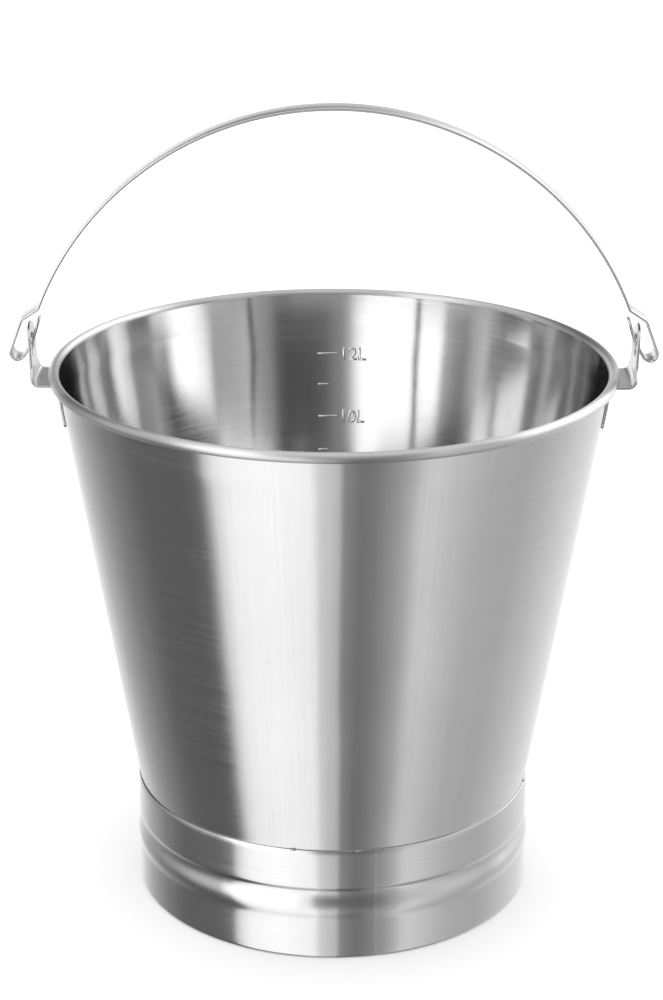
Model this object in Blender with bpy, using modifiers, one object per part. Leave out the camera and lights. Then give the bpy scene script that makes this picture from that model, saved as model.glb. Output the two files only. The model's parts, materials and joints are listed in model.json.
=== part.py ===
"""Stainless steel milk pail.

A tapered sheet body with a wired rim, a set-in floor, a welded base ring, two
spot-welded ears and a flat strap bail that swings in the ears. Metres, +Z up.
The origin is the centre of the foot circle, and the ears lie on the X axis.
"""

import math

import bmesh
import bpy

# Driving dimensions.
RIM_RADIUS = 0.155  # outside of the rolled rim
PAIL_HEIGHT = 0.305  # foot to the top of the rolled rim
FOOT_RADIUS = 0.111  # outside of the base ring
BAIL_TOP = 0.4463  # outer face of the bail at its highest point

SHEET = 0.0006  # body and floor
RING_SHEET = 0.0006
EAR_SHEET = 0.0015
STRAP = 0.0015  # bail thickness
GAP = 0.0003  # clearance between pieces that touch

TURN_STEPS = 72
MERGE = 0.00001

# Rolled rim: the sheet curls outward and under, around a wire.
BEAD_RADIUS = 0.0029
BEAD_CENTRE = (RIM_RADIUS - BEAD_RADIUS, PAIL_HEIGHT - BEAD_RADIUS)
BEAD_END = math.radians(-128)
WIRE_RADIUS = 0.0019
WIRE_SIDES = 8

# Outer face of the wall, as radius and height, from the rim down.
CREASE = (0.1476, 0.2845)
RING_TOP_WALL = (0.1104, 0.0656)
WALL_SLOPE = (CREASE[0] - RING_TOP_WALL[0]) / (CREASE[1] - RING_TOP_WALL[1])
WALL_FOOT_HEIGHT = 0.005

FLOOR_TOP = 0.013
FLOOR_CORNER = 0.003
FLANGE_FOOT_HEIGHT = 0.0053

# Base ring.
RING_TOP = 0.0648
BAND_FOOT = (0.1111, 0.0434)  # where the upper band turns into the groove
GROOVE = (0.1103, 0.0399)
SHOULDER = (0.1118, 0.0290)
LOWER_BAND_TOP = 0.0225
FOOT_CORNER = 0.0018
FOOT_FLANGE = 0.006  # how far the foot turns inward

# Ears.
PIVOT_HEIGHT = 0.3155
PLATE_RADIUS = 0.1639  # where the upright plate starts
PLATE_LEAN = math.radians(2)
SHELF_HEIGHT = 0.2962
SHELF_BEND = 0.003
PLATE_BEND = 0.004
LEG_FOOT_HEIGHT = 0.2725
EAR_HALF_WIDTH = 0.018
NECK_HALF_WIDTH = 0.0125
EYE_RADIUS = 0.0065
FLARE_HEIGHTS = (0.299, 0.306)
EAR_SWEEP = math.radians(20)
EAR_STEPS = 8

# Bail: one arc of flat strap with a hooked loop at each end.
BAIL_RADIUS = 0.1712
BAIL_CENTRE_HEIGHT = BAIL_TOP - STRAP / 2 - BAIL_RADIUS
BAIL_KINK_HEIGHT = 0.3364
BAIL_WIDTH = 0.015
TONGUE_WIDTH = 0.008
STRAP_BEND = 0.003
HOOK_SHOULDER = (0.1688, 0.3303)
HOOK_BEND_CENTRE = (0.17115, 0.31215)
HOOK_BEND_RADIUS = 0.0041
TONGUE_RISE = math.radians(62)
TONGUE_KNEE = 0.0097  # along the tongue, from the bend to its knee
TONGUE_TIP = (0.1592, 0.3310)


def clear_scene():
    """Remove every object that the file opened with."""
    for old in list(bpy.data.objects):
        bpy.data.objects.remove(old, do_unlink=True)


def new_collection(name):
    """Add a collection to the scene."""
    group = bpy.data.collections.new(name)
    bpy.context.scene.collection.children.link(group)
    return group


def steel(name, grey, roughness):
    """A bare stainless steel material."""
    material = bpy.data.materials.new(name)
    material.use_nodes = True
    shader = material.node_tree.nodes["Principled BSDF"]
    shader.inputs["Base Color"].default_value = (grey, grey, grey, 1.0)
    shader.inputs["Metallic"].default_value = 1.0
    shader.inputs["Roughness"].default_value = roughness
    return material


def add_object(name, mesh, group, material=None):
    """Put a mesh in the scene under its node's name."""
    piece = bpy.data.objects.new(name, mesh)
    group.objects.link(piece)
    if material:
        mesh.materials.append(material)
    return piece


def arc(centre, radius, start, end, count):
    """Points along an arc, both ends included."""
    step = (end - start) / count
    angles = [start + step * i for i in range(count + 1)]
    return [(centre[0] + radius * math.cos(a), centre[1] + radius * math.sin(a)) for a in angles]


def fillet(before, corner, after, radius, count):
    """Points that round the corner between two straight runs."""
    into = unit(before, corner)
    out = unit(corner, after)
    cross = into[0] * out[1] - into[1] * out[0]
    turn = math.atan2(cross, into[0] * out[0] + into[1] * out[1])
    side = math.copysign(1.0, turn)
    back = radius * math.tan(abs(turn) / 2)
    start = (corner[0] - into[0] * back, corner[1] - into[1] * back)
    centre = (start[0] - into[1] * radius * side, start[1] + into[0] * radius * side)
    first = math.atan2(start[1] - centre[1], start[0] - centre[0])
    return arc(centre, radius, first, first + turn, count)


def unit(start, end):
    """Unit vector from one point to another."""
    length = math.dist(start, end)
    return ((end[0] - start[0]) / length, (end[1] - start[1]) / length)


def ease(start, end, count):
    """Points along a smooth step that leaves and arrives upright."""
    points = []
    for i in range(count + 1):
        blend = (1 - math.cos(math.pi * i / count)) / 2
        radius = start[0] + (end[0] - start[0]) * blend
        points.append((radius, start[1] + (end[1] - start[1]) * i / count))
    return points


def edge_mesh(name, points):
    """A mesh of edges through points given as radius (or x) and height."""
    mesh = bpy.data.meshes.new(name)
    links = [(i, i + 1) for i in range(len(points) - 1)]
    mesh.from_pydata([(x, 0.0, z) for x, z in points], links, [])
    return mesh


def add_screw(piece, angle, steps):
    """Turn the piece's profile about Z."""
    screw = piece.modifiers.new("turn", "SCREW")
    screw.axis = "Z"
    screw.angle = angle
    screw.steps = steps
    screw.render_steps = steps
    screw.use_merge_vertices = True
    screw.merge_threshold = MERGE
    screw.use_smooth_shade = True


def add_thickness(piece, thickness, offset):
    """Give an open surface its sheet thickness."""
    solidify = piece.modifiers.new("sheet", "SOLIDIFY")
    solidify.thickness = thickness
    solidify.offset = offset
    solidify.use_even_offset = True


def turned_sheet(name, outer_face, thickness, group, material):
    """A turned sheet piece from the outer face of its profile, top to bottom."""
    piece = add_object(name, edge_mesh(name, outer_face), group, material)
    add_screw(piece, math.tau, TURN_STEPS)
    add_thickness(piece, thickness, -1.0)
    return piece


def evaluated_mesh(piece, name):
    """The piece's mesh with its modifiers applied, and no loose seams."""
    depsgraph = bpy.context.evaluated_depsgraph_get()
    mesh = bpy.data.meshes.new_from_object(piece.evaluated_get(depsgraph))
    mesh.name = name
    work = bmesh.new()
    work.from_mesh(mesh)
    bmesh.ops.remove_doubles(work, verts=work.verts, dist=MERGE)
    work.to_mesh(mesh)
    work.free()
    return mesh


def wall_radius(height):
    """Outer radius of the wall."""
    if height > CREASE[1]:
        top_radius = BEAD_CENTRE[0] - BEAD_RADIUS + SHEET
        slope = (top_radius - CREASE[0]) / (BEAD_CENTRE[1] - CREASE[1])
        return CREASE[0] + slope * (height - CREASE[1])
    return CREASE[0] + WALL_SLOPE * (height - CREASE[1])


def make_body(group, material):
    """The tapered wall, with its rim curled outward around the wire."""
    curl = arc(BEAD_CENTRE, BEAD_RADIUS - SHEET, BEAD_END, math.pi, 14)
    heights = [CREASE[1], RING_TOP_WALL[1], WALL_FOOT_HEIGHT]
    wall = [(wall_radius(height), height) for height in heights]
    turned_sheet("pail_body", curl + wall, SHEET, group, material)


def make_rim_wire(group, material):
    """The steel wire that the rim is rolled around."""
    mesh = bpy.data.meshes.new("rim_wire")
    piece = add_object("rim_wire", mesh, group, material)
    section = arc(BEAD_CENTRE, WIRE_RADIUS, math.pi, -math.pi, WIRE_SIDES)[:-1]
    links = [(i, (i + 1) % WIRE_SIDES) for i in range(WIRE_SIDES)]
    mesh.from_pydata([(x, 0.0, z) for x, z in section], links, [])
    add_screw(piece, math.tau, TURN_STEPS)


def make_floor(group, material):
    """The round floor, with a flange turned down inside the wall."""
    reach = GAP + SHEET * 1.02
    rim = (wall_radius(FLOOR_TOP) - reach, FLOOR_TOP)
    foot = (wall_radius(FLANGE_FOOT_HEIGHT) - reach, FLANGE_FOOT_HEIGHT)
    corner = fillet((0.0, FLOOR_TOP), rim, foot, FLOOR_CORNER, 4)
    turned_sheet("bottom_disc", [(0.0, FLOOR_TOP)] + corner + [foot], SHEET, group, material)


def make_base_ring(group, material):
    """The band that the pail stands on, grooved and turned in at the foot."""
    top_radius = wall_radius(RING_TOP) + GAP + RING_SHEET
    foot_centre = (FOOT_RADIUS - FOOT_CORNER, FOOT_CORNER)
    profile = [(top_radius, RING_TOP)]
    profile += ease(BAND_FOOT, GROOVE, 2)
    profile += ease(GROOVE, SHOULDER, 4)[1:]
    profile += ease(SHOULDER, (FOOT_RADIUS, LOWER_BAND_TOP), 2)[1:]
    profile += arc(foot_centre, FOOT_CORNER, 0.0, -math.pi / 2, 4)
    profile += [(FOOT_RADIUS - FOOT_FLANGE, 0.0)]
    turned_sheet("base_ring", profile, RING_SHEET, group, material)


def ear_centreline():
    """Middle of the ear's sheet, from its top edge down to the foot of its leg."""
    stand_off = GAP + EAR_SHEET / 2
    leg = [(wall_radius(z) + stand_off, z) for z in (SHELF_HEIGHT, CREASE[1], LEG_FOOT_HEIGHT)]
    shelf_end = (PLATE_RADIUS, SHELF_HEIGHT)
    rise = 2 * NECK_HALF_WIDTH + PIVOT_HEIGHT - SHELF_HEIGHT
    plate_top = (PLATE_RADIUS + rise * math.tan(PLATE_LEAN), SHELF_HEIGHT + rise)
    points = [plate_top]
    points += fillet(plate_top, shelf_end, leg[0], PLATE_BEND, 5)
    points += fillet(shelf_end, leg[0], leg[1], SHELF_BEND, 5)
    points += leg[1:]
    return points


def add_spline(curve, points):
    """Add a closed, straight-edged outline to a 2D curve."""
    spline = curve.splines.new("POLY")
    spline.points.add(len(points) - 1)
    for point, (x, y) in zip(spline.points, points):
        point.co = (x, y, 0.0, 1.0)
    spline.use_cyclic_u = True


def make_ear_outline(group):
    """The ear's outline seen along X, with the eye, as a prism that cuts it out."""
    curve = bpy.data.curves.new("ear_outline", "CURVE")
    curve.dimensions = "2D"
    curve.fill_mode = "BOTH"
    curve.extrude = PLATE_RADIUS / 4
    pivot = (0.0, PIVOT_HEIGHT)
    outline = arc(pivot, NECK_HALF_WIDTH, 0.0, math.pi, 16)
    outline += [(-NECK_HALF_WIDTH, FLARE_HEIGHTS[1]), (-EAR_HALF_WIDTH, FLARE_HEIGHTS[0])]
    foot = LEG_FOOT_HEIGHT - GAP
    outline += [(-EAR_HALF_WIDTH, foot), (EAR_HALF_WIDTH, foot)]
    outline += [(EAR_HALF_WIDTH, FLARE_HEIGHTS[0]), (NECK_HALF_WIDTH, FLARE_HEIGHTS[1])]
    add_spline(curve, outline)
    add_spline(curve, arc(pivot, EYE_RADIUS, 0.0, math.tau, 24)[:-1])
    drawing = bpy.data.objects.new("ear_outline_drawing", curve)
    group.objects.link(drawing)
    cutter = add_object("ear_outline", evaluated_mesh(drawing, "ear_outline"), group)
    cutter.rotation_euler = (math.pi / 2, 0.0, math.pi / 2)
    cutter.location.x = PLATE_RADIUS
    cutter.hide_render = True
    cutter.display_type = "WIRE"
    bpy.data.objects.remove(drawing)
    return cutter


def make_ears(group, cutters, material):
    """Two bent sheet ears, each with a leg on the wall and an eye for the bail."""
    cutter = make_ear_outline(cutters)
    blank = add_object("ear_blank", edge_mesh("ear_blank", ear_centreline()), cutters)
    blank.rotation_euler.z = -EAR_SWEEP / 2
    add_screw(blank, EAR_SWEEP, EAR_STEPS)
    add_thickness(blank, EAR_SHEET, 0.0)
    cut = blank.modifiers.new("outline", "BOOLEAN")
    cut.operation = "INTERSECT"
    cut.solver = "EXACT"
    cut.object = cutter
    bpy.context.view_layer.update()
    mesh = evaluated_mesh(blank, "ear")
    mesh.materials.clear()
    bpy.data.objects.remove(blank)
    for name, turn in (("ear_right", 0.0), ("ear_left", math.pi)):
        ear = add_object(name, mesh.copy(), group, material)
        ear.rotation_euler.z = turn - EAR_SWEEP / 2


def bail_path():
    """Middle of the strap from the top of the arch to the tip of the tongue, in its four runs."""
    lift = BAIL_KINK_HEIGHT - BAIL_CENTRE_HEIGHT
    kink_angle = math.asin(lift / BAIL_RADIUS)
    centre = (0.0, BAIL_CENTRE_HEIGHT)
    arch = arc(centre, BAIL_RADIUS, math.pi / 2, kink_angle, 22)
    leg_angle = math.atan2(HOOK_BEND_CENTRE[0] + HOOK_BEND_RADIUS - HOOK_SHOULDER[0],
                           HOOK_SHOULDER[1] - HOOK_BEND_CENTRE[1])
    bend_end = -math.pi / 2 - TONGUE_RISE
    bend = arc(HOOK_BEND_CENTRE, HOOK_BEND_RADIUS, leg_angle, bend_end, 8)
    kink = arch.pop()
    shoulder = fillet(arch[-1], kink, HOOK_SHOULDER, STRAP_BEND, 3)
    shoulder += fillet(kink, HOOK_SHOULDER, bend[0], STRAP_BEND, 3)
    knee = (bend[-1][0] - TONGUE_KNEE * math.cos(TONGUE_RISE),
            bend[-1][1] + TONGUE_KNEE * math.sin(TONGUE_RISE))
    tongue = [knee, TONGUE_TIP]
    return arch, shoulder, bend, tongue


def make_bail(group, material):
    """The flat strap handle, turning about the X axis through the eyes."""
    arch, shoulder, bend, tongue = bail_path()
    path = arch + shoulder + bend + tongue
    pivot = (0.0, 0.0, PIVOT_HEIGHT)
    mesh = edge_mesh("bail", [(x, z - PIVOT_HEIGHT) for x, z in path])
    work = bmesh.new()
    work.from_mesh(mesh)
    work.verts.ensure_lookup_table()
    narrow = len(arch) + len(shoulder) + len(bend) - 1
    full = narrow - len(bend) // 2
    half_widths = []
    for i in range(len(path)):
        along = min(max((i - full) / (narrow - full), 0.0), 1.0)
        half_widths.append((BAIL_WIDTH + (TONGUE_WIDTH - BAIL_WIDTH) * along) / 2)
    near = list(work.verts)
    swept = bmesh.ops.extrude_edge_only(work, edges=work.edges)
    far = [item for item in swept["geom"] if isinstance(item, bmesh.types.BMVert)]
    for vert, half_width in zip(near, half_widths):
        vert.co.y = -half_width
    for vert, half_width in zip(far, half_widths):
        vert.co.y = half_width
    work.to_mesh(mesh)
    work.free()
    piece = add_object("bail", mesh, group, material)
    piece.location = pivot
    mirror = piece.modifiers.new("other_half", "MIRROR")
    mirror.use_axis = (True, False, False)
    mirror.use_clip = True
    mirror.merge_threshold = MERGE
    add_thickness(piece, STRAP, 0.0)


def main():
    clear_scene()
    pail = new_collection("milk_pail")
    cutters = new_collection("cutters")
    make_body(pail, steel("body_steel", 0.62, 0.28))
    make_rim_wire(pail, steel("wire_steel", 0.45, 0.4))
    make_floor(pail, steel("floor_steel", 0.6, 0.3))
    make_base_ring(pail, steel("ring_steel", 0.62, 0.26))
    make_ears(pail, cutters, steel("ear_steel", 0.6, 0.3))
    make_bail(pail, steel("bail_steel", 0.64, 0.22))


main()
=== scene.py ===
"""The looks of the stainless steel milk pail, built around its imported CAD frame. Metres, +Z up."""

import json
import math

import bmesh
import bpy
from mathutils import Matrix, Vector


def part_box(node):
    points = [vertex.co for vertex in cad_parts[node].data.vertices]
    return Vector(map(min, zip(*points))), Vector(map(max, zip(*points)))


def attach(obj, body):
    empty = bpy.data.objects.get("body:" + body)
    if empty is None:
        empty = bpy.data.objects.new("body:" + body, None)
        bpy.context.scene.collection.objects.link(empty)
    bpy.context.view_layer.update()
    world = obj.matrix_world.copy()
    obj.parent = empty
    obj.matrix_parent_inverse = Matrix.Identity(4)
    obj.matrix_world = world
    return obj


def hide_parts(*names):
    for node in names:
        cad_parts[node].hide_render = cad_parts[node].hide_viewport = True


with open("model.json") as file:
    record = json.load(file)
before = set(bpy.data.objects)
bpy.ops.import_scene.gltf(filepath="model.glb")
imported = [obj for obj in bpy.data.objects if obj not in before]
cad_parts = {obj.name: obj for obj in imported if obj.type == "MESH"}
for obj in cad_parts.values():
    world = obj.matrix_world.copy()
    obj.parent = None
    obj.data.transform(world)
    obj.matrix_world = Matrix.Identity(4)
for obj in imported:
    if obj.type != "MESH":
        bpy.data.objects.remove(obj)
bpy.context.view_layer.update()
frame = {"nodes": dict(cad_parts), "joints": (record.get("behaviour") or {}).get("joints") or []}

TAU = math.tau

# ---------------------------------------------------------------- sizes from the frame
BODY_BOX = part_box("pail_body")
RING_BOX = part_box("base_ring")
BAIL_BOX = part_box("bail")
EAR_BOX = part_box("ear_right")
SWING = next(joint for joint in frame["joints"] if joint["name"] == "bail_swing")

RIM_RADIUS = BODY_BOX[1].x
PAIL_HEIGHT = BODY_BOX[1].z
PIVOT_HEIGHT = SWING["pos_m"][2]
BAIL_TOP = BAIL_BOX[1].z

# ---------------------------------------------------------------- sizes that part.py also holds
SHEET = 0.0006
RING_SHEET = 0.0006
EAR_SHEET = 0.0015
STRAP = 0.0015
GAP = 0.0003
BEAD_RADIUS = 0.0029
BEAD_CENTRE = (RIM_RADIUS - BEAD_RADIUS, PAIL_HEIGHT - BEAD_RADIUS)
BEAD_END = math.radians(-128)
CREASE = (0.1476, 0.2845)
RING_TOP_WALL = (0.1104, 0.0656)
WALL_SLOPE = (CREASE[0] - RING_TOP_WALL[0]) / (CREASE[1] - RING_TOP_WALL[1])
WALL_FOOT_HEIGHT = 0.005
FLOOR_TOP = 0.013
FLOOR_CORNER = 0.003
FLANGE_FOOT_HEIGHT = 0.0053
RING_TOP = RING_BOX[1].z
FOOT_RADIUS = 0.111
BAND_FOOT = (0.1111, 0.0434)
GROOVE = (0.1103, 0.0399)
SHOULDER = (0.1118, 0.0290)
LOWER_BAND_TOP = 0.0225
FOOT_CORNER = 0.0018
FOOT_FLANGE = 0.006
PLATE_RADIUS = 0.1639
PLATE_LEAN = math.radians(2)
SHELF_HEIGHT = 0.2962
SHELF_BEND = 0.003
PLATE_BEND = 0.004
LEG_FOOT_HEIGHT = 0.2725
EAR_HALF_WIDTH = EAR_BOX[1].y
NECK_HALF_WIDTH = 0.0125
EYE_RADIUS = 0.0065
FLARE_HEIGHTS = (0.299, 0.306)
BAIL_RADIUS = 0.1712
BAIL_CENTRE_HEIGHT = BAIL_TOP - STRAP / 2 - BAIL_RADIUS
BAIL_KINK_HEIGHT = 0.3364
BAIL_HALF_WIDTH = BAIL_BOX[1].y
TONGUE_HALF_WIDTH = 0.004
STRAP_BEND = 0.003
HOOK_SHOULDER = (0.1688, 0.3303)
HOOK_BEND_CENTRE = (0.17115, 0.31215)
HOOK_BEND_RADIUS = 0.0041
TONGUE_RISE = math.radians(62)
TONGUE_KNEE = 0.0097
TONGUE_TIP = (0.1592, 0.3310)

# ---------------------------------------------------------------- detail that only the visual model has
TURN_STEPS = 288
SHEET_LIP_STEPS = 4

RING_GAP = 0.0001
LAP_FROM = math.radians(-83.2)
LAP_TO = math.radians(-78.6)
LAP_RISE = 0.00005
LAP_EDGE = math.radians(1.2)
LAP_WANDER = 0.011
# half width, in radians, of the painted shade line at the band's lap
LAP_SHADOW_HALF = 0.002

EAR_CORNER = 0.003
EAR_EDGE = 0.0004
EAR_CUT_START = 0.0005
EAR_CUT_ALONG = 0.0007
EAR_CUT_ACROSS = 0.003

LEG_WELD_ACROSS = 0.009
LEG_WELD_HEIGHTS = (0.2765, 0.2825)
LEG_WELD_RADIUS = 0.0019
LEG_WELD_FLATNESS = 0.16
LEG_WELD_SINK = 0.0001
WELD_GRAIN_DEPTH = 0.00008

# The turns of the foot band's welds are in degrees round from the front.
FRONT_WELD_TURNS = (-11.0, 7.2, 13.3)
BACK_WELD_START = 78
BACK_WELD_STEP = 24
BACK_WELD_COUNT = 9
BAND_WELD_RADIUS = 0.0008
BAND_WELD_OUT = 0.0006
BAND_WELD_LIFT = 0.0001

TONGUE_BEND = 0.008
TONGUE_TIP_POINTS = 8
NARROWING_START = 16
NARROWING_POINTS = 16
TONGUE_END_SHARE = 0.45
STRAP_EDGE = 0.0005

TOP_MARK = 12
LOWEST_MARK = 2
TOP_MARK_HEIGHT = 0.2672
MARKED_LITRE = 0.001165
HALF_MARK_SPACING = 0.01
MARK_PROUD = 0.0003
BEVEL_SHARE = 0.9
LONG_TICK = 0.011
SHORT_TICK = 0.0055
TICK_START = -0.0094
TICK_HALF = 0.0005
NUMBER_START = 0.0034
NUMBER_HEIGHT = 0.0075
CAPITAL_SHARE = 0.70

# ---------------------------------------------------------------- surface grain, in repeats per metre
BRUSH_LONG = 14.0
BRUSH_FINE = 2600.0
SCRATCH_LONG = 35.0
SCRATCH_FINE = 900.0
SMUDGES = (11.0, 11.0, 9.0)
SPECKS = (260.0, 260.0, 260.0)
WAVES = (13.0, 13.0, 6.0)
LAP_BENDS = (0.0, 0.0, 110.0)
WELD_GRAIN = (1500.0, 1500.0, 1500.0)
STREAKS = (70.0, 70.0, 6.0)  # across, in repeats per radian

# ---------------------------------------------------------------- camera and studio
CAMERA_BACK = 1.3805
CAMERA_HEIGHT = 0.7235
CAMERA_PITCH = math.radians(19.84)
CAMERA_YAW = 0.0008
CAMERA_ROLL = 0.0026
CAMERA_LENS = 95.2
FLOOR_HALF = 9.0

# Rings of studio cards that the steel reflects, as bearing in degrees from the camera's side, and
# brightness. The wall and the foot see the low ring, the foot's shoulder and the bail the middle
# one, and the inside the high one.
LOW_CARDS = (
    (-180, 1.1), (-162, 1.0), (-148, 0.75), (-138, 0.55), (-124, 0.36), (-117, 0.3), (-115, 0.14),
    (-113, 0.3), (-108, 0.2), (-98, 0.13), (-64, 0.11), (-60, 0.15), (-58, 0.95), (-50, 1.36),
    (-30, 1.48), (-10, 1.38), (-8, 1.0), (2.6, 0.76), (4.2, 0.37), (13, 0.24), (21, 0.29), (30, 0.45),
    (37, 0.62), (41, 0.88), (47, 0.92), (56, 0.8), (70, 0.62), (93, 0.53), (118, 0.72), (138, 0.88),
    (160, 1.0), (180, 1.1),
)
MIDDLE_CARDS = (
    (-180, 1.1), (-165, 1.5), (-150, 1.4), (-134, 0.7), (-124, 0.55), (-100, 0.6), (-82, 0.8),
    (-66, 0.9), (-61, 1.8), (-50, 2.3), (-30, 2.2), (-20, 1.6), (-13, 1.2), (-9, 0.4), (-2, 0.17),
    (16, 0.12), (26, 0.22), (34, 0.5), (42, 0.7), (68, 0.85), (98, 0.75), (112, 1.5), (150, 1.6),
    (155, 0.9), (172, 0.8), (180, 1.0),
)
HIGH_CARDS = (
    (-180, 0.35), (-172, 0.2), (-160, 0.13), (-140, 0.11), (-132, 0.18), (-126, 0.42), (-114, 0.6),
    (-106, 0.95), (-92, 0.75), (-72, 0.66), (-66, 1.6), (-60, 1.95), (-44, 2.5), (-36, 2.3),
    (-30, 1.2), (-25, 0.35), (0, 0.5), (24, 0.4), (36, 0.45), (44, 1.0), (54, 0.75), (62, 0.4),
    (70, 0.46), (81, 0.8), (86, 2.1), (90, 2.3), (148, 2.3), (156, 2.1), (162, 1.5), (167, 0.8),
    (173, 0.45), (180, 0.35),
)
OVERHEAD = 1.1
BACKDROP_STRENGTH = 1.45
SWEEP_GREY = 0.9

# Heights of a reflected direction, as its Z, between which one ring of cards gives way to the next.
UNDERSIDE_FADE = (-0.88, -0.74)
UNDERSIDE_LEVEL = 0.4
LOW_TO_MIDDLE = (-0.3, -0.18)
MIDDLE_TO_HIGH = (0.15, 0.25)
HIGH_TO_OVERHEAD = (0.62, 0.85)


# ================================================================ outlines
def unit(start, end):
    """Unit vector from one point to another."""
    length = math.dist(start, end)
    return ((end[0] - start[0]) / length, (end[1] - start[1]) / length)


def arc(centre, radius, start, end, count):
    """Points along an arc, both ends included."""
    step = (end - start) / count
    angles = [start + step * i for i in range(count + 1)]
    return [(centre[0] + radius * math.cos(a), centre[1] + radius * math.sin(a)) for a in angles]


def fillet(before, corner, after, radius, count):
    """Points that round the corner between two straight runs."""
    into = unit(before, corner)
    out = unit(corner, after)
    cross = into[0] * out[1] - into[1] * out[0]
    turn = math.atan2(cross, into[0] * out[0] + into[1] * out[1])
    side = math.copysign(1.0, turn)
    back = radius * math.tan(abs(turn) / 2)
    start = (corner[0] - into[0] * back, corner[1] - into[1] * back)
    centre = (start[0] - into[1] * radius * side, start[1] + into[0] * radius * side)
    first = math.atan2(start[1] - centre[1], start[0] - centre[0])
    return arc(centre, radius, first, first + turn, count)


def line(start, end, count):
    """Points along a straight run, both ends included."""
    return [(start[0] + (end[0] - start[0]) * i / count, start[1] + (end[1] - start[1]) * i / count)
            for i in range(count + 1)]


def ease(start, end, count):
    """Points along a smooth step that leaves and arrives upright."""
    points = []
    for i in range(count + 1):
        blend = (1 - math.cos(math.pi * i / count)) / 2
        points.append((start[0] + (end[0] - start[0]) * blend,
                       start[1] + (end[1] - start[1]) * i / count))
    return points


def side_normals(points):
    """The left-hand normal at each point of an open outline."""
    normals = []
    for i in range(len(points)):
        ahead = unit(points[max(i - 1, 0)], points[min(i + 1, len(points) - 1)])
        normals.append((-ahead[1], ahead[0]))
    return normals


def sheet_outline(outer_face, thickness):
    """A closed outline of bent sheet from its outer face, with rounded lips at both ends."""
    normals = side_normals(outer_face)
    inner_face = [(p[0] + n[0] * -thickness, p[1] + n[1] * -thickness)
                  for p, n in zip(outer_face, normals)]
    last = lip(outer_face[-1], inner_face[-1])
    first = lip(inner_face[0], outer_face[0])
    return outer_face + last + inner_face[::-1] + first


def lip(start, end):
    """Half-round end of a sheet, between its two faces."""
    centre = ((start[0] + end[0]) / 2, (start[1] + end[1]) / 2)
    first = math.atan2(start[1] - centre[1], start[0] - centre[0])
    radius = math.dist(start, end) / 2
    return arc(centre, radius, first, first - math.pi, SHEET_LIP_STEPS)[1:-1]


# ================================================================ mesh tools
def finish_piece(name, work, body, material, crease_angle=math.radians(35)):
    """Turn a bmesh into a smooth-shaded piece that rides on a body."""
    bmesh.ops.recalc_face_normals(work, faces=work.faces)
    mesh = bpy.data.meshes.new(name)
    work.to_mesh(mesh)
    work.free()
    mesh.shade_smooth()
    mesh.set_sharp_from_angle(angle=crease_angle)
    mesh.materials.append(material)
    piece = bpy.data.objects.new(name, mesh)
    bpy.context.scene.collection.objects.link(piece)
    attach(piece, body)
    return piece


def revolve(outline, steps, closed=True, warp=None):
    """A bmesh of a closed outline turned about Z. Points on the axis become one vertex."""
    work = bmesh.new()
    rings = []
    for radius, height in outline:
        if radius < 1e-7:
            rings.append([work.verts.new((0.0, 0.0, height))] * steps)
            continue
        ring = []
        for i in range(steps):
            angle = TAU * i / steps
            reach = radius + (warp(angle, height) if warp else 0.0)
            ring.append(work.verts.new((reach * math.cos(angle), reach * math.sin(angle), height)))
        rings.append(ring)
    count = len(rings)
    for a in range(count if closed else count - 1):
        near = rings[a]
        far = rings[(a + 1) % count]
        for i in range(steps):
            j = (i + 1) % steps
            corners = [near[i], near[j], far[j], far[i]]
            corners = [v for k, v in enumerate(corners) if v not in corners[:k]]
            if len(corners) > 2:
                work.faces.new(corners)
    return work


def sweep(path, half_widths, half_thickness, corner, corner_steps=3):
    """A bmesh of a flat strap along a path in the XZ plane, with rounded edges."""
    work = bmesh.new()
    normals = side_normals(path)
    rings = []
    for point, normal, half_width in zip(path, normals, half_widths):
        ring = []
        for side_y, side_n, start in ((1, 1, 0.0), (-1, 1, 0.25), (-1, -1, 0.5), (1, -1, 0.75)):
            for k in range(corner_steps + 1):
                angle = TAU * (start + 0.25 * k / corner_steps)
                across = side_y * (half_width - corner) + corner * math.cos(angle)
                out = side_n * (half_thickness - corner) + corner * math.sin(angle)
                place = (point[0] + normal[0] * out, across, point[1] + normal[1] * out)
                ring.append(work.verts.new(place))
        rings.append(ring)
    size = len(rings[0])
    uv_layer = work.loops.layers.uv.new("along")
    travelled = 0.0
    for a in range(len(rings) - 1):
        stretch = math.dist(path[a], path[a + 1])
        for i in range(size):
            j = (i + 1) % size
            face = work.faces.new((rings[a][i], rings[a][j], rings[a + 1][j], rings[a + 1][i]))
            for loop in face.loops:
                on_far = loop.vert in (rings[a + 1][i], rings[a + 1][j])
                loop[uv_layer].uv = (loop.vert.co.y, travelled + (stretch if on_far else 0.0))
        travelled += stretch
    work.faces.new(rings[0][::-1])
    work.faces.new(rings[-1])
    return work


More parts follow.
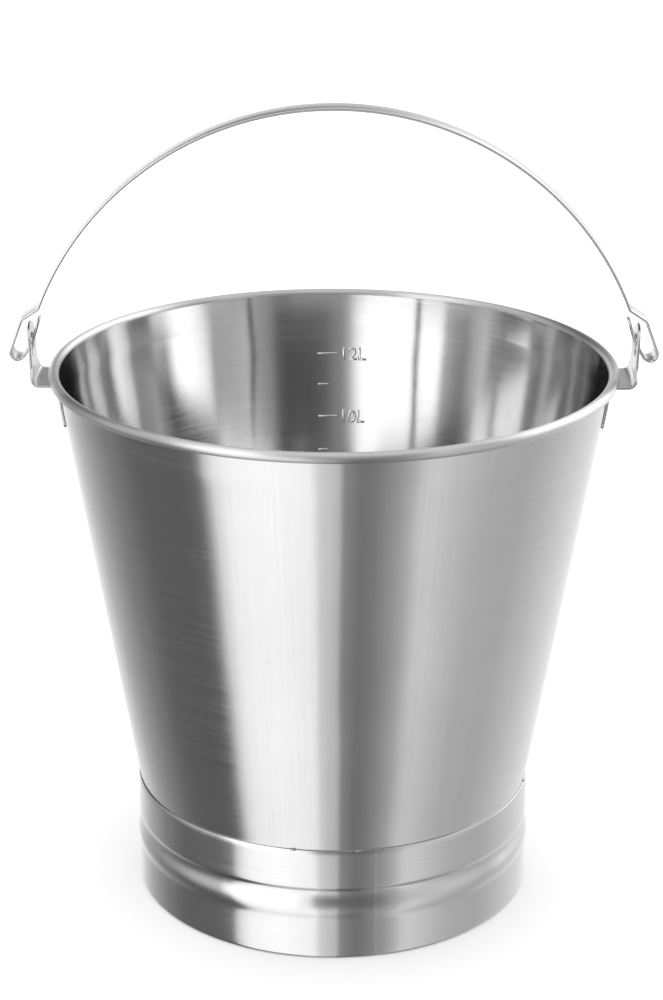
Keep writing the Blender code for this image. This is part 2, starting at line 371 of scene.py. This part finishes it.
# ================================================================ materials
class Nodes:
    """A short way to add nodes to one material or world."""

    def __init__(self, owner):
        owner.use_nodes = True
        self.tree = owner.node_tree

    def add(self, kind, **settings):
        node = self.tree.nodes.new(kind)
        for key, value in settings.items():
            setattr(node, key, value)
        return node

    def link(self, source, target):
        self.tree.links.new(source, target)

    def math(self, operation, first, second=None, third=None):
        node = self.add("ShaderNodeMath", operation=operation)
        for socket, value in zip(node.inputs, (first, second, third)):
            if value is None:
                continue
            if isinstance(value, (int, float)):
                socket.default_value = value
            else:
                self.link(value, socket)
        return node.outputs[0]

    def blend(self, first, second, amount):
        """From the first value at 0 to the second at 1."""
        return self.math("MULTIPLY_ADD", self.math("SUBTRACT", second, first), amount, first)

    def noise(self, vector, scales, detail=3.0, roughness=0.5, distortion=0.0):
        """Noise that is stretched by its own scale along each axis."""
        mapping = self.add("ShaderNodeMapping")
        mapping.inputs["Scale"].default_value = scales
        self.link(vector, mapping.inputs["Vector"])
        noise = self.add("ShaderNodeTexNoise")
        noise.inputs["Scale"].default_value = 1.0
        noise.inputs["Detail"].default_value = detail
        noise.inputs["Roughness"].default_value = roughness
        noise.inputs["Distortion"].default_value = distortion
        self.link(mapping.outputs["Vector"], noise.inputs["Vector"])
        return noise.outputs["Fac"]

    def ramp(self, value, low, high, to_low=0.0, to_high=1.0):
        """Stretch a value from one range to another, held at its ends."""
        node = self.add("ShaderNodeMapRange", clamp=True)
        self.link(value, node.inputs["Value"])
        names = ("From Min", "From Max", "To Min", "To Max")
        for name, number in zip(names, (low, high, to_low, to_high)):
            node.inputs[name].default_value = number
        return node.outputs["Result"]

    def grey(self, level):
        """A grey colour from one value."""
        colour = self.add("ShaderNodeCombineColor")
        for channel in ("Red", "Green", "Blue"):
            self.link(level, colour.inputs[channel])
        return colour.outputs[0]

    def relief(self, height, distance, shader):
        """Bump the shader's normal by a height, in units of a distance."""
        bump = self.add("ShaderNodeBump")
        bump.inputs["Strength"].default_value = 1.0
        bump.inputs["Distance"].default_value = distance
        self.link(height, bump.inputs["Height"])
        self.link(bump.outputs["Normal"], shader.inputs["Normal"])


def upright_streaks(nodes, at):
    """Noise over the direction from the pail's axis, long in height."""
    flat = nodes.add("ShaderNodeVectorMath", operation="MULTIPLY")
    nodes.link(at, flat.inputs[0])
    flat.inputs[1].default_value = (1.0, 1.0, 0.0)
    outward = nodes.add("ShaderNodeVectorMath", operation="NORMALIZE")
    nodes.link(flat.outputs[0], outward.inputs[0])
    drawn = nodes.add("ShaderNodeVectorMath", operation="MULTIPLY_ADD")
    nodes.link(at, drawn.inputs[0])
    drawn.inputs[1].default_value = (0.0, 0.0, 1.0)
    nodes.link(outward.outputs[0], drawn.inputs[2])
    return nodes.noise(drawn.outputs[0], STREAKS, detail=4.0, roughness=0.65)


def brushed_steel(name, grey, roughness, brushing, anisotropy=0.8, line_depth=2.5e-6, wave=6e-5,
                  wear=1.0, streaks=0.0):
    """Brushed stainless steel. Brushing is turned, disc or along, for the way the lines run.

    Wear is how deep the scratches are. Streaks is how far the tone changes in the faint upright streaks
    that rolling leaves.
    """
    material = bpy.data.materials.new(name)
    nodes = Nodes(material)
    shader = nodes.tree.nodes["Principled BSDF"]
    place = nodes.add("ShaderNodeTexCoord")
    at = place.outputs["Object"]
    line_scales = (BRUSH_LONG, BRUSH_LONG, BRUSH_FINE)
    scratch_scales = (SCRATCH_LONG, SCRATCH_LONG, SCRATCH_FINE)
    if brushing == "turned":
        lines_at = at
    elif brushing == "disc":
        split = nodes.add("ShaderNodeSeparateXYZ")
        nodes.link(at, split.inputs[0])
        square = nodes.math("ADD", nodes.math("MULTIPLY", split.outputs["X"], split.outputs["X"]),
                            nodes.math("MULTIPLY", split.outputs["Y"], split.outputs["Y"]))
        reach = nodes.math("SQRT", square)
        join = nodes.add("ShaderNodeCombineXYZ")
        nodes.link(split.outputs["X"], join.inputs["X"])
        nodes.link(split.outputs["Y"], join.inputs["Y"])
        nodes.link(reach, join.inputs["Z"])
        lines_at = join.outputs[0]
    else:
        lines_at = place.outputs["UV"]
        line_scales = (BRUSH_FINE, BRUSH_LONG, 1.0)
        scratch_scales = (SCRATCH_FINE, SCRATCH_LONG, 1.0)

    lines = nodes.noise(lines_at, line_scales, detail=4.0, roughness=0.6)
    scratches = nodes.noise(lines_at, scratch_scales, detail=2.0, roughness=0.6)
    smudges = nodes.noise(at, SMUDGES, detail=4.0, roughness=0.6, distortion=0.4)
    specks = nodes.noise(at, SPECKS, detail=2.0)
    sag = nodes.noise(at, WAVES, detail=2.0, roughness=0.4)

    # roughness: brush lines, handling smudges and a few deeper scratches
    rough = nodes.ramp(lines, 0.3, 0.7, roughness - 0.03, roughness + 0.03)
    rough = nodes.math("ADD", rough, nodes.ramp(smudges, 0.42, 0.75, 0.0, 0.03))
    rough = nodes.math("ADD", rough, nodes.ramp(scratches, 0.68, 0.8, 0.0, 0.06 * wear))
    nodes.link(rough, shader.inputs["Roughness"])

    # colour: scratches, specks and smudges are a little darker
    tone = nodes.ramp(lines, 0.25, 0.75, grey - 0.025, grey + 0.02)
    tone = nodes.math("ADD", tone, nodes.ramp(scratches, 0.3, 0.66, -0.012 * wear, 0.012 * wear))
    tone = nodes.math("SUBTRACT", tone, nodes.ramp(scratches, 0.66, 0.85, 0.0, 0.12 * wear))
    tone = nodes.math("SUBTRACT", tone, nodes.ramp(specks, 0.72, 0.8, 0.0, 0.05))
    tone = nodes.math("ADD", tone, nodes.ramp(smudges, 0.35, 0.7, 0.012, -0.02))
    if streaks:
        upright = upright_streaks(nodes, at)
        tone = nodes.math("ADD", tone, nodes.ramp(upright, 0.25, 0.75, -streaks, streaks))
    nodes.link(nodes.grey(tone), shader.inputs["Base Color"])

    # relief, in metres: the brush lines, the scratches, and the slow waviness of thin sheet
    height = nodes.math("MULTIPLY", lines, line_depth)
    cut = nodes.ramp(scratches, 0.66, 0.82)
    height = nodes.math("MULTIPLY_ADD", cut, -line_depth * 2 * wear, height)
    height = nodes.math("MULTIPLY_ADD", sag, wave * 4, height)
    nodes.relief(height, 1.0, shader)

    shader.inputs["Metallic"].default_value = 1.0
    shader.inputs["Anisotropic"].default_value = anisotropy
    if brushing == "along":
        tangent = nodes.add("ShaderNodeTangent", direction_type="UV_MAP")
        shader.inputs["Anisotropic Rotation"].default_value = 0.0
    else:
        tangent = nodes.add("ShaderNodeTangent", direction_type="RADIAL", axis="Z")
        shader.inputs["Anisotropic Rotation"].default_value = 0.25
    nodes.link(tangent.outputs["Tangent"], shader.inputs["Tangent"])
    return material


def paint_lap_shadow_line(material):
    """Painted shade: darken the thin, slightly wandering line where the foot band's outer end laps over
    the other, in place of the shadow in the gap at the lap's edge.
    """
    nodes = Nodes(material)
    shader = nodes.tree.nodes["Principled BSDF"]
    at = nodes.add("ShaderNodeTexCoord").outputs["Object"]
    split = nodes.add("ShaderNodeSeparateXYZ")
    nodes.link(at, split.inputs[0])
    turn = nodes.math("ARCTAN2", split.outputs["Y"], split.outputs["X"])
    bends = nodes.noise(at, LAP_BENDS, detail=1.0)
    wander = nodes.ramp(bends, 0.3, 0.7, -LAP_WANDER, LAP_WANDER)
    lap_shadow_at = nodes.math("COMPARE", nodes.math("ADD", turn, wander), LAP_TO, LAP_SHADOW_HALF)
    colour = nodes.add("ShaderNodeMix", data_type="RGBA", blend_type="MULTIPLY")
    factor, base, shade = (colour.inputs[i] for i in (0, 6, 7))
    nodes.link(lap_shadow_at, factor)
    nodes.link(shader.inputs["Base Color"].links[0].from_socket, base)
    # painted shade: the lap edge's shadow, multiplied into the band's colour
    shade.default_value = (0.8, 0.8, 0.8, 1.0)
    nodes.link(colour.outputs[2], shader.inputs["Base Color"])


def weld_metal(name):
    """Small welds: duller than the sheet, darkened by heat, with a grainy tone all over."""
    material = bpy.data.materials.new(name)
    nodes = Nodes(material)
    shader = nodes.tree.nodes["Principled BSDF"]
    at = nodes.add("ShaderNodeTexCoord").outputs["Object"]
    grain = nodes.noise(at, WELD_GRAIN, detail=4.0)
    tone = nodes.ramp(grain, 0.3, 0.7, 0.28, 0.55)
    nodes.link(nodes.grey(tone), shader.inputs["Base Color"])
    nodes.link(nodes.ramp(grain, 0.3, 0.7, 0.3, 0.5), shader.inputs["Roughness"])
    nodes.relief(grain, WELD_GRAIN_DEPTH, shader)
    shader.inputs["Metallic"].default_value = 1.0
    return material


# ================================================================ pieces
def wall_radius(height):
    """Outer radius of the wall."""
    if height > CREASE[1]:
        top_radius = BEAD_CENTRE[0] - BEAD_RADIUS + SHEET
        slope = (top_radius - CREASE[0]) / (BEAD_CENTRE[1] - CREASE[1])
        return CREASE[0] + slope * (height - CREASE[1])
    return CREASE[0] + WALL_SLOPE * (height - CREASE[1])


def inner_radius(height):
    """Inner radius of the wall."""
    return wall_radius(height) - SHEET / math.cos(math.atan(WALL_SLOPE))


def make_wall(material, inner_material, rim_material):
    """The tapered wall with its crease and the rim curled around the wire."""
    curl = arc(BEAD_CENTRE, BEAD_RADIUS - SHEET, BEAD_END, math.pi, 36)
    above = line((wall_radius(BEAD_CENTRE[1]), BEAD_CENTRE[1]), CREASE, 10)[1:]
    below = line(CREASE, (wall_radius(WALL_FOOT_HEIGHT), WALL_FOOT_HEIGHT), 40)[1:]
    outline = sheet_outline(curl + above + below, SHEET)
    piece = finish_piece("wall_and_rim", revolve(outline, TURN_STEPS), "pail", material)
    piece.data.materials.append(inner_material)
    piece.data.materials.append(rim_material)
    bead_inside = BEAD_CENTRE[0] - BEAD_RADIUS
    for face in piece.data.polygons:
        facing = face.normal.x * face.center.x + face.normal.y * face.center.y
        reach = math.hypot(face.center.x, face.center.y)
        if face.center.z > BEAD_CENTRE[1] or reach > bead_inside + SHEET * 2:
            face.material_index = 2
        elif facing < 0:
            face.material_index = 1
    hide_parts("pail_body")


def make_floor_disc(material):
    """The set-in floor, flat at its middle, with a rounded corner and its flange turned down."""
    reach = GAP + SHEET * 1.02
    rim = (wall_radius(FLOOR_TOP) - reach, FLOOR_TOP)
    foot = (wall_radius(FLANGE_FOOT_HEIGHT) - reach, FLANGE_FOOT_HEIGHT)
    corner = fillet((0.0, FLOOR_TOP), rim, foot, FLOOR_CORNER, 12)
    top = line((0.0, FLOOR_TOP), corner[0], 24)[:-1] + corner + line(corner[-1], foot, 4)[1:]
    normals = side_normals(top)
    under = [(max(p[0] - n[0] * SHEET, 0.0), p[1] - n[1] * SHEET) for p, n in zip(top, normals)]
    under[0] = (0.0, FLOOR_TOP - SHEET)
    outline = top + lip(top[-1], under[-1]) + under[::-1]
    work = revolve(outline, TURN_STEPS, closed=False)
    piece = finish_piece("floor_disc", work, "pail", material)
    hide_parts("bottom_disc")


def ring_warp(angle, height):
    """Where the band's ends lap, its outer face stands a little proud."""
    turn = math.remainder(angle, TAU)
    rise = (smooth((turn - LAP_FROM) / LAP_EDGE) - smooth((turn - LAP_TO) / LAP_EDGE))
    return LAP_RISE * rise


def smooth(t):
    """A smooth step from 0 to 1."""
    t = min(max(t, 0.0), 1.0)
    return t * t * (3 - 2 * t)


def make_ring(material):
    """The grooved foot band with its lapped ends."""
    top_radius = wall_radius(RING_TOP) + RING_GAP + RING_SHEET
    foot_centre = (FOOT_RADIUS - FOOT_CORNER, FOOT_CORNER)
    profile = line((top_radius, RING_TOP), BAND_FOOT, 6)
    profile += ease(BAND_FOOT, GROOVE, 8)[1:]
    profile += ease(GROOVE, SHOULDER, 14)[1:]
    profile += ease(SHOULDER, (FOOT_RADIUS, LOWER_BAND_TOP), 8)[1:]
    profile += line((FOOT_RADIUS, LOWER_BAND_TOP), (FOOT_RADIUS, FOOT_CORNER), 6)[1:]
    profile += arc(foot_centre, FOOT_CORNER, 0.0, -math.pi / 2, 8)[1:]
    profile += line((foot_centre[0], 0.0), (FOOT_RADIUS - FOOT_FLANGE, 0.0), 2)[1:]
    outline = sheet_outline(profile, RING_SHEET)
    work = revolve(outline, 2 * TURN_STEPS, warp=ring_warp)
    piece = finish_piece("foot_band", work, "pail", material)
    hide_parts("base_ring")


def ear_centreline():
    """Middle of the ear's sheet, from the foot of its leg up to the top edge."""
    stand_off = GAP + EAR_SHEET / 2
    leg = [(wall_radius(z) + stand_off, z) for z in (SHELF_HEIGHT, CREASE[1], LEG_FOOT_HEIGHT)]
    shelf_end = (PLATE_RADIUS, SHELF_HEIGHT)
    rise = 2 * NECK_HALF_WIDTH + PIVOT_HEIGHT - SHELF_HEIGHT
    plate_top = (PLATE_RADIUS + rise * math.tan(PLATE_LEAN), SHELF_HEIGHT + rise)
    points = [plate_top]
    points += fillet(plate_top, shelf_end, leg[0], PLATE_BEND, 10)
    points += fillet(shelf_end, leg[0], leg[1], SHELF_BEND, 10)
    points += leg[1:]
    return points[::-1]


def along(points, distance):
    """Point and left-hand normal at a distance along an outline."""
    for start, end in zip(points, points[1:]):
        length = math.dist(start, end)
        if distance <= length or end == points[-1]:
            ahead = unit(start, end)
            place = (start[0] + ahead[0] * distance, start[1] + ahead[1] * distance)
            return place, (-ahead[1], ahead[0])
        distance -= length


def flat_plate(outlines, thickness, edge):
    """A flat plate with rounded edges, as a bmesh, from a 2D outline and its holes."""
    curve = bpy.data.curves.new("plate", "CURVE")
    curve.dimensions = "2D"
    curve.fill_mode = "BOTH"
    curve.extrude = thickness / 2 - edge
    curve.bevel_depth = edge
    curve.bevel_resolution = 2
    curve.offset = -edge
    for outline in outlines:
        spline = curve.splines.new("POLY")
        spline.points.add(len(outline) - 1)
        for point, (x, y) in zip(spline.points, outline):
            point.co = (x, y, 0.0, 1.0)
        spline.use_cyclic_u = True
    holder = bpy.data.objects.new("plate", curve)
    bpy.context.scene.collection.objects.link(holder)
    work = evaluated_bmesh(holder)
    bpy.data.objects.remove(holder)
    return work


def evaluated_bmesh(holder):
    """A curve or text object as a welded bmesh."""
    depsgraph = bpy.context.evaluated_depsgraph_get()
    mesh = bpy.data.meshes.new_from_object(holder.evaluated_get(depsgraph))
    work = bmesh.new()
    work.from_mesh(mesh)
    bpy.data.meshes.remove(mesh)
    bmesh.ops.remove_doubles(work, verts=work.verts, dist=1e-6)
    return work


def cut_across(work, axis, start, end, step):
    """Cut a bmesh with evenly spaced planes, so that it can bend."""
    normal = Vector((0.0, 0.0, 0.0))
    normal[axis] = 1.0
    count = int((end - start) / step)
    for i in range(count + 1):
        parts = list(work.verts) + list(work.edges) + list(work.faces)
        place = normal * (start + step * i)
        bmesh.ops.bisect_plane(work, geom=parts, dist=1e-7, plane_co=place, plane_no=normal)


def make_ears(material, weld):
    """The two bent ears, each a flat blank with an eye, folded up and curved to the wall."""
    spine = ear_centreline()
    total = sum(math.dist(a, b) for a, b in zip(spine, spine[1:]))
    spine_top = spine[-1][1]
    pivot_at = total - (spine_top - PIVOT_HEIGHT) / math.cos(PLATE_LEAN)
    flare_at = [total - (spine_top - z) / math.cos(PLATE_LEAN) for z in FLARE_HEIGHTS]
    side = []
    for width, at in ease((EAR_HALF_WIDTH, flare_at[0]), (NECK_HALF_WIDTH, flare_at[1]), 8):
        side.append((width, at))
    corner = (EAR_HALF_WIDTH - EAR_CORNER, EAR_CORNER)
    right = arc(corner, EAR_CORNER, -math.pi / 2, 0.0, 6) + side
    top = arc((0.0, pivot_at), NECK_HALF_WIDTH, 0.0, math.pi, 32)
    outline = right + top + [(-x, y) for x, y in right[::-1]]
    eye = arc((0.0, pivot_at), EYE_RADIUS, 0.0, TAU, 40)[:-1]
    for name, turn in (("ear_plate_right", 0.0), ("ear_plate_left", math.pi)):
        work = flat_plate((outline, eye), EAR_SHEET, EAR_EDGE)
        cut_across(work, 1, EAR_CUT_START, total, EAR_CUT_ALONG)
        cut_across(work, 0, -EAR_HALF_WIDTH, EAR_HALF_WIDTH, EAR_CUT_ACROSS)
        for vert in work.verts:
            (radius, height), normal = along(spine, vert.co.y)
            across = vert.co.x
            radius += -normal[0] * vert.co.z
            height += -normal[1] * vert.co.z
            vert.co = (math.sqrt(radius ** 2 - across ** 2), across, height)
        bmesh.ops.transform(work, matrix=Matrix.Rotation(turn, 4, "Z"), verts=work.verts)
        piece = finish_piece(name, work, "pail", material)
        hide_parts(name.replace("plate_", ""))
        make_leg_welds(name + "_welds", turn, weld)


def make_leg_welds(name, turn, material):
    """Two pairs of spot welds that hold an ear's leg to the wall."""
    work = bmesh.new()
    for across in (-LEG_WELD_ACROSS, LEG_WELD_ACROSS):
        for height in LEG_WELD_HEIGHTS:
            radius = wall_radius(height) + GAP + EAR_SHEET - LEG_WELD_SINK
            disc = bmesh.ops.create_uvsphere(work, u_segments=20, v_segments=10, radius=LEG_WELD_RADIUS)
            squash = Matrix.Diagonal((LEG_WELD_FLATNESS, 1.0, 1.0, 1.0))
            lean = Matrix.Rotation(math.atan(WALL_SLOPE), 4, "Y")
            place = Matrix.Translation((math.sqrt(radius ** 2 - across ** 2), across, height))
            spin = Matrix.Rotation(math.asin(across / radius), 4, "Z")
            bmesh.ops.transform(work, matrix=place @ spin @ lean @ squash, verts=disc["verts"])
    bmesh.ops.transform(work, matrix=Matrix.Rotation(turn, 4, "Z"), verts=work.verts)
    finish_piece(name, work, "pail", material)


def make_ring_welds(material):
    """Small welds along the top edge of the foot band: three near its lap, the rest spread around."""
    turns = list(FRONT_WELD_TURNS)
    turns += [BACK_WELD_START + BACK_WELD_STEP * i for i in range(BACK_WELD_COUNT)]
    work = bmesh.new()
    for i, turn in enumerate(turns):
        angle = math.radians(turn - 90)
        size = BAND_WELD_RADIUS * (1 + 0.25 * math.sin(2.3 * i))
        blob = bmesh.ops.create_uvsphere(work, u_segments=14, v_segments=8, radius=size)
        squash = Matrix.Diagonal((0.45, 1.5 + 0.4 * math.cos(1.7 * i), 0.8, 1.0))
        out = wall_radius(RING_TOP) + BAND_WELD_OUT
        place = Matrix.Translation((out, 0.0, RING_TOP + BAND_WELD_LIFT))
        spin = Matrix.Rotation(angle, 4, "Z")
        bmesh.ops.transform(work, matrix=spin @ place @ squash, verts=blob["verts"])
    finish_piece("foot_band_welds", work, "pail", material)


def bail_path():
    """Middle of the strap from the top of the arch to the tip of the tongue, with half-widths."""
    lift = BAIL_KINK_HEIGHT - BAIL_CENTRE_HEIGHT
    kink_angle = math.asin(lift / BAIL_RADIUS)
    arch = arc((0.0, BAIL_CENTRE_HEIGHT), BAIL_RADIUS, math.pi / 2, kink_angle, 90)
    leg_angle = math.atan2(HOOK_BEND_CENTRE[0] + HOOK_BEND_RADIUS - HOOK_SHOULDER[0],
                           HOOK_SHOULDER[1] - HOOK_BEND_CENTRE[1])
    bend_end = -math.pi / 2 - TONGUE_RISE
    bend = arc(HOOK_BEND_CENTRE, HOOK_BEND_RADIUS, leg_angle, bend_end, 32)
    kink = arch.pop()
    shoulder = fillet(arch[-4], kink, HOOK_SHOULDER, STRAP_BEND, 10)
    arch = arch[:-1]
    shoulder += fillet(kink, HOOK_SHOULDER, bend[0], STRAP_BEND, 10)
    knee = (bend[-1][0] - TONGUE_KNEE * math.cos(TONGUE_RISE),
            bend[-1][1] + TONGUE_KNEE * math.sin(TONGUE_RISE))
    tongue = fillet(bend[-1], knee, TONGUE_TIP, TONGUE_BEND, 8)
    tongue += line(tongue[-1], TONGUE_TIP, TONGUE_TIP_POINTS)[1:]
    path = arch + shoulder + bend + tongue
    bend_from = len(arch) + len(shoulder)
    half_widths = []
    for i, point in enumerate(path):
        narrowing = smooth((i - bend_from - NARROWING_START) / NARROWING_POINTS)
        half_width = BAIL_HALF_WIDTH + (TONGUE_HALF_WIDTH - BAIL_HALF_WIDTH) * narrowing
        inset = TONGUE_HALF_WIDTH - math.dist(point, TONGUE_TIP)
        if i >= len(path) - TONGUE_TIP_POINTS and inset > 0:
            rounded = math.sqrt(TONGUE_HALF_WIDTH ** 2 - inset ** 2)
            half_width = max(rounded, TONGUE_HALF_WIDTH * TONGUE_END_SHARE)
        half_widths.append(half_width)
    return path, half_widths


def make_bail(material):
    """The flat strap handle with its two hooked loops."""
    path, half_widths = bail_path()
    whole = [(-x, z) for x, z in path[:0:-1]] + path
    work = sweep(whole, half_widths[:0:-1] + half_widths, STRAP / 2, STRAP_EDGE)
    piece = finish_piece("bail_strap", work, "handle", material, math.radians(50))
    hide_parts("bail")


# ---------------------------------------------------------------- volume marks
def mark_heights():
    """Heights of the litre marks, from the top one down: the wall tapers, so they spread."""
    heights = {TOP_MARK: TOP_MARK_HEIGHT}
    for litre in range(TOP_MARK - 1, LOWEST_MARK - 1, -1):
        above = heights[litre + 1]
        radius = inner_radius(above - HALF_MARK_SPACING)
        heights[litre] = above - MARKED_LITRE / (math.pi * radius ** 2)
    return heights


def make_marks(material):
    """Raised ticks and numbers pressed into the back of the inner wall."""
    work = bmesh.new()
    for litre, height in mark_heights().items():
        length = SHORT_TICK if litre % 2 else LONG_TICK
        ends = arc((TICK_START + length, height), TICK_HALF, -math.pi / 2, math.pi / 2, 8)
        ends += arc((TICK_START, height), TICK_HALF, math.pi / 2, 1.5 * math.pi, 8)
        add_mark(work, flat_plate((ends,), 2 * MARK_PROUD, MARK_PROUD * BEVEL_SHARE))
        if litre % 2 == 0:
            add_mark(work, number_plate(f"{litre}L", height))
    finish_piece("volume_marks", work, "pail", material, math.radians(60))


def number_plate(words, height):
    """A volume number as a flat bmesh, in its place."""
    curve = bpy.data.curves.new("number", "FONT")
    curve.body = words
    curve.size = NUMBER_HEIGHT / CAPITAL_SHARE
    curve.extrude = MARK_PROUD * 0.1
    curve.bevel_depth = MARK_PROUD * BEVEL_SHARE
    curve.bevel_resolution = 1
    curve.resolution_u = 6
    curve.align_x = "LEFT"
    curve.align_y = "CENTER"
    holder = bpy.data.objects.new("number", curve)
    bpy.context.scene.collection.objects.link(holder)
    work = evaluated_bmesh(holder)
    bpy.data.objects.remove(holder)
    low = min(v.co.y for v in work.verts)
    high = max(v.co.y for v in work.verts)
    middle = (low + high) / 2
    bmesh.ops.translate(work, vec=(NUMBER_START, height - middle, 0.0), verts=work.verts)
    return work


def add_mark(work, flat):
    """Wrap a flat mark on to the inner wall, and add it to the rest."""
    for vert in flat.verts:
        radius = inner_radius(vert.co.y) - vert.co.z
        turn = vert.co.x / inner_radius(TOP_MARK_HEIGHT)
        vert.co = (radius * math.sin(turn), radius * math.cos(turn), vert.co.y)
    mesh = bpy.data.meshes.new("mark")
    flat.to_mesh(mesh)
    flat.free()
    work.from_mesh(mesh)
    bpy.data.meshes.remove(mesh)


# ================================================================ stage
def card_level(nodes, bearing, cards, name):
    """Brightness of a ring of cards at a bearing, through a colour ramp from -180 to 180 degrees."""
    ramp = nodes.add("ShaderNodeValToRGB", name=name)
    nodes.link(bearing, ramp.inputs["Fac"])
    stops = ramp.color_ramp.elements
    peak = max(level for _, level in cards)
    while len(stops) < len(cards):
        stops.new(0.5)
    for stop, (degrees, _) in zip(stops, cards):
        stop.position = degrees / 360 + 0.5
    for stop, (_, level) in zip(stops, cards):
        stop.color = (level / peak, level / peak, level / peak, 1.0)
    return nodes.math("MULTIPLY", ramp.outputs["Color"], peak)


def make_studio():
    """An even white studio, and rings of pale and dark cards that only reflections see."""
    world = bpy.data.worlds.new("studio")
    bpy.context.scene.world = world
    nodes = Nodes(world)
    backdrop = nodes.tree.nodes["Background"]
    split = nodes.add("ShaderNodeSeparateXYZ")
    nodes.link(nodes.add("ShaderNodeTexCoord").outputs["Generated"], split.inputs[0])
    forward = nodes.math("MULTIPLY", split.outputs["Y"], -1.0)
    turn = nodes.math("ARCTAN2", split.outputs["X"], forward)
    bearing = nodes.math("MULTIPLY_ADD", turn, 1 / TAU, 0.5)
    low = card_level(nodes, bearing, LOW_CARDS, "low_cards")
    middle = card_level(nodes, bearing, MIDDLE_CARDS, "middle_cards")
    high = card_level(nodes, bearing, HIGH_CARDS, "high_cards")
    height = split.outputs["Z"]
    low = nodes.math("MULTIPLY", low, nodes.ramp(height, *UNDERSIDE_FADE, UNDERSIDE_LEVEL, 1.0))
    mixed = nodes.blend(low, middle, nodes.ramp(height, *LOW_TO_MIDDLE))
    mixed = nodes.blend(mixed, high, nodes.ramp(height, *MIDDLE_TO_HIGH))
    mixed = nodes.blend(mixed, OVERHEAD, nodes.ramp(height, *HIGH_TO_OVERHEAD))
    cards = nodes.add("ShaderNodeBackground")
    nodes.link(mixed, cards.inputs["Color"])
    backdrop.inputs["Color"].default_value = (1.0, 1.0, 1.0, 1.0)
    backdrop.inputs["Strength"].default_value = BACKDROP_STRENGTH
    rays = nodes.add("ShaderNodeLightPath")
    mix = nodes.add("ShaderNodeMixShader")
    nodes.link(rays.outputs["Is Glossy Ray"], mix.inputs["Fac"])
    nodes.link(backdrop.outputs[0], mix.inputs[1])
    nodes.link(cards.outputs[0], mix.inputs[2])
    nodes.link(mix.outputs[0], nodes.tree.nodes["World Output"].inputs["Surface"])
    bpy.context.scene.view_settings.view_transform = "Standard"


def make_stage_floor():
    """A plain white sweep for the pail to stand on."""
    material = bpy.data.materials.new("white_sweep")
    nodes = Nodes(material)
    shader = nodes.tree.nodes["Principled BSDF"]
    shader.inputs["Base Color"].default_value = (SWEEP_GREY, SWEEP_GREY, SWEEP_GREY, 1.0)
    shader.inputs["Roughness"].default_value = 1.0
    shader.inputs["Specular IOR Level"].default_value = 0.0
    bpy.ops.mesh.primitive_plane_add(size=2 * FLOOR_HALF, location=(0.0, 0.0, 0.0))
    sweep_floor = bpy.context.object
    sweep_floor.name = "studio_floor"
    sweep_floor.data.materials.append(material)
    sweep_floor.visible_glossy = False


def make_camera():
    """The camera, in front of the pail and looking down on it."""
    data = bpy.data.cameras.new("camera")
    data.lens = CAMERA_LENS
    camera = bpy.data.objects.new("camera", data)
    bpy.context.scene.collection.objects.link(camera)
    camera.location = (0.0, -CAMERA_BACK, CAMERA_HEIGHT)
    aim = Matrix.Rotation(CAMERA_YAW, 3, "Z") @ Matrix.Rotation(math.pi / 2 - CAMERA_PITCH, 3, "X")
    camera.rotation_euler = (aim @ Matrix.Rotation(CAMERA_ROLL, 3, "Z")).to_euler()
    bpy.context.scene.camera = camera


def main():
    wall = brushed_steel("wall_steel", grey=0.66, roughness=0.16, brushing="turned", anisotropy=1.0,
                         wave=1.6e-4, wear=0.3, streaks=0.014)
    inner = brushed_steel("inner_wall_steel", grey=0.7, roughness=0.09, brushing="turned",
                          anisotropy=0.8, line_depth=5e-7, wave=8e-5)
    rim = brushed_steel("rim_steel", grey=0.62, roughness=0.33, brushing="turned", anisotropy=1.0)
    band = brushed_steel("band_steel", grey=0.66, roughness=0.15, brushing="turned", anisotropy=1.0,
                         wave=4e-5, wear=0.4)
    # painted shade along the foot band's lap edge
    paint_lap_shadow_line(band)
    disc = brushed_steel("disc_steel", grey=0.62, roughness=0.22, brushing="disc", anisotropy=0.8)
    sheet = brushed_steel("ear_sheet_steel", grey=0.62, roughness=0.22, brushing="turned",
                          anisotropy=0.4)
    strap = brushed_steel("strap_steel", grey=0.68, roughness=0.24, brushing="along", anisotropy=0.7)
    wire = brushed_steel("drawn_wire", grey=0.5, roughness=0.4, brushing="turned", anisotropy=0.3)
    weld = weld_metal("weld_metal")
    make_camera()
    make_wall(wall, inner, rim)
    make_marks(inner)
    make_floor_disc(disc)
    make_ring(band)
    make_ring_welds(weld)
    make_ears(sheet, weld)
    make_bail(strap)
    frame["nodes"]["rim_wire"].data.materials.clear()
    frame["nodes"]["rim_wire"].data.materials.append(wire)
    make_studio()
    make_stage_floor()


main()
